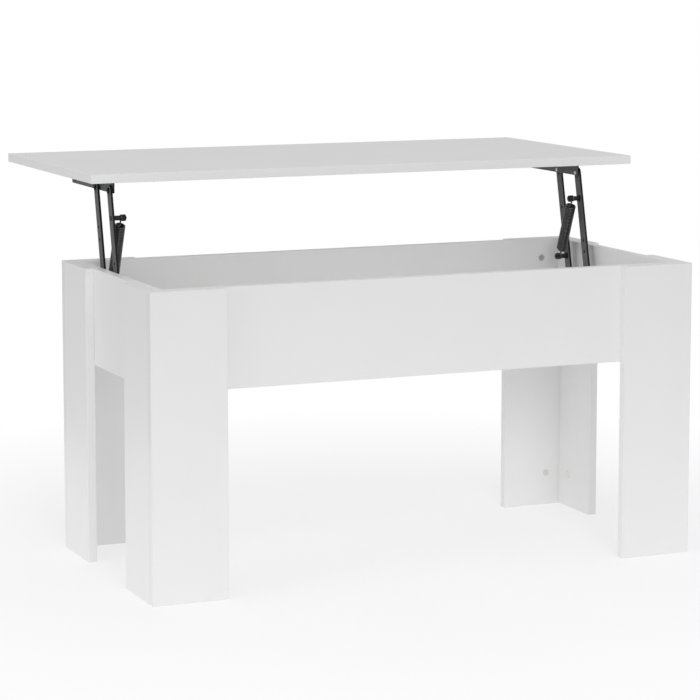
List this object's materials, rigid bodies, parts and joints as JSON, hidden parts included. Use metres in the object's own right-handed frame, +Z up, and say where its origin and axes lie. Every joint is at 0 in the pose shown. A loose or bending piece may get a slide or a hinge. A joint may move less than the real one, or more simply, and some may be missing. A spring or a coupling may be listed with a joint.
{
  "type": "lift top coffee table",
  "caption": "Low rectangular table on L-shaped board legs; its top swings up and out on spring-assisted parallelogram arms over a storage box.",
  "frame": {"origin": "on the floor, at the centre of the base (the four legs)", "axes": "+X along the long side, +Y the way the top swings out when raised, +Z up; the rest pose has the top raised"},
  "size_m": [1.01, 0.7346, 0.6709],
  "materials": {
    "white_board": "satin white melamine on chipboard, edge banded",
    "white_top": "satin white melamine on chipboard, edge banded",
    "beech": "raw beech, fluted",
    "zinc": "bright zinc",
    "cap_plastic": "white moulded plastic",
    "plug_plastic": "light grey moulded plastic",
    "screw_steel": "zinc plated",
    "pivot_steel": "blackened, with bright staked ends",
    "spring_wire": "oiled black spring wire",
    "black_steel": "blackened",
    "black_paint": "dark grey powder coat"
  },
  "bodies": {
    "base": {"back_panel": "white_board", "base_bracket_left": "black_paint", "base_bracket_right": "black_paint", "base_bracket_screws_left": "screw_steel", "base_bracket_screws_right": "screw_steel", "bottom_panel": "white_board", "box_cam_bolts": "zinc", "box_cam_locks": "zinc", "box_dowels": "beech", "front_panel": "white_board", "left_side_panel": "white_board", "leg_back_left_face_board": "white_board", "leg_back_left_side_board": "white_board", "leg_back_right_face_board": "white_board", "leg_back_right_side_board": "white_board", "leg_cam_bolts": "zinc", "leg_cam_caps": "cap_plastic", "leg_cam_locks": "zinc", "leg_dowels": "beech", "leg_front_left_face_board": "white_board", "leg_front_left_side_board": "white_board", "leg_front_right_face_board": "white_board", "leg_front_right_side_board": "white_board", "leg_hole_plugs": "plug_plastic", "leg_screws": "screw_steel", "lower_pivot_pins_left": "black_paint", "lower_pivot_pins_right": "black_paint", "right_side_panel": "white_board", "stop_pin_left": "black_paint", "stop_pin_right": "black_paint"},
    "top": {"table_top": "white_top", "top_bracket_left": "black_paint", "top_bracket_right": "black_paint", "top_bracket_screws_left": "screw_steel", "top_bracket_screws_right": "screw_steel", "upper_pivot_pins_left": "pivot_steel", "upper_pivot_pins_right": "pivot_steel", "upper_pivot_washers_left": "black_paint", "upper_pivot_washers_right": "black_paint"},
    "front_arm_left": {"front_arm_left": "black_paint", "upper_spring_stud_left": "black_steel", "upper_spring_nut_left": "black_steel"},
    "rear_arm_left": {"rear_arm_left": "black_paint", "lower_spring_stud_left": "black_steel", "lower_spring_nut_left": "black_steel"},
    "spring_lower_left": {"spring_coil_left": "spring_wire"},
    "spring_upper_left": {"spring_hook_left": "spring_wire"},
    "front_arm_right": {"front_arm_right": "black_paint", "upper_spring_stud_right": "black_steel", "upper_spring_nut_right": "black_steel"},
    "rear_arm_right": {"rear_arm_right": "black_paint", "lower_spring_stud_right": "black_steel", "lower_spring_nut_right": "black_steel"},
    "spring_lower_right": {"spring_coil_right": "spring_wire"},
    "spring_upper_right": {"spring_hook_right": "spring_wire"}
  },
  "joints": [
    {"name": "lift", "type": "hinge", "parent": "base", "child": "rear_arm_left", "pos_m": [-0.445, 0.1227, 0.424], "axis": [1, 0, 0], "range_deg": [0, 86.67]},
    {"name": "top_level", "type": "hinge", "parent": "rear_arm_left", "child": "top", "pos_m": [-0.445, 0.17151, 0.63544], "axis": [1, 0, 0], "range_deg": [-86.67, 0]},
    {"name": "front_arm_swing_left", "type": "hinge", "parent": "base", "child": "front_arm_left", "pos_m": [-0.445, 0.0517, 0.424], "axis": [1, 0, 0], "range_deg": [0, 86.67]},
    {"name": "spring_turn_left", "type": "hinge", "parent": "rear_arm_left", "child": "spring_lower_left", "pos_m": [-0.429, 0.13564, 0.48003], "axis": [1, 0, 0], "range_deg": [-29.32, 0]},
    {"name": "spring_stretch_left", "type": "slide", "parent": "spring_lower_left", "child": "spring_upper_left", "axis": [0, -0.3848, 0.923], "range_m": [0, 0.06299], "deforming": ["spring_coil_left", "spring_hook_left"]},
    {"name": "front_arm_swing_right", "type": "hinge", "parent": "base", "child": "front_arm_right", "pos_m": [0.445, 0.0517, 0.424], "axis": [1, 0, 0], "range_deg": [0, 86.67]},
    {"name": "rear_arm_swing_right", "type": "hinge", "parent": "base", "child": "rear_arm_right", "pos_m": [0.445, 0.1227, 0.424], "axis": [1, 0, 0], "range_deg": [0, 86.67]},
    {"name": "spring_turn_right", "type": "hinge", "parent": "rear_arm_right", "child": "spring_lower_right", "pos_m": [0.429, 0.13564, 0.48003], "axis": [1, 0, 0], "range_deg": [-29.32, 0]},
    {"name": "spring_stretch_right", "type": "slide", "parent": "spring_lower_right", "child": "spring_upper_right", "axis": [0, -0.3848, 0.923], "range_m": [0, 0.06299], "deforming": ["spring_coil_right", "spring_hook_right"]}
  ],
  "couplings": [
    {"joint": "top_level", "follows": "lift", "ratio": -1},
    {"joint": "front_arm_swing_left", "follows": "lift", "ratio": 1},
    {"joint": "spring_turn_left", "follows": "lift", "ratio": -0.33832},
    {"joint": "spring_stretch_left", "follows": "lift", "m_per_rad": 0.041631},
    {"joint": "front_arm_swing_right", "follows": "lift", "ratio": 1},
    {"joint": "rear_arm_swing_right", "follows": "lift", "ratio": 1},
    {"joint": "spring_turn_right", "follows": "lift", "ratio": -0.33832},
    {"joint": "spring_stretch_right", "follows": "lift", "m_per_rad": 0.041631}
  ]
}
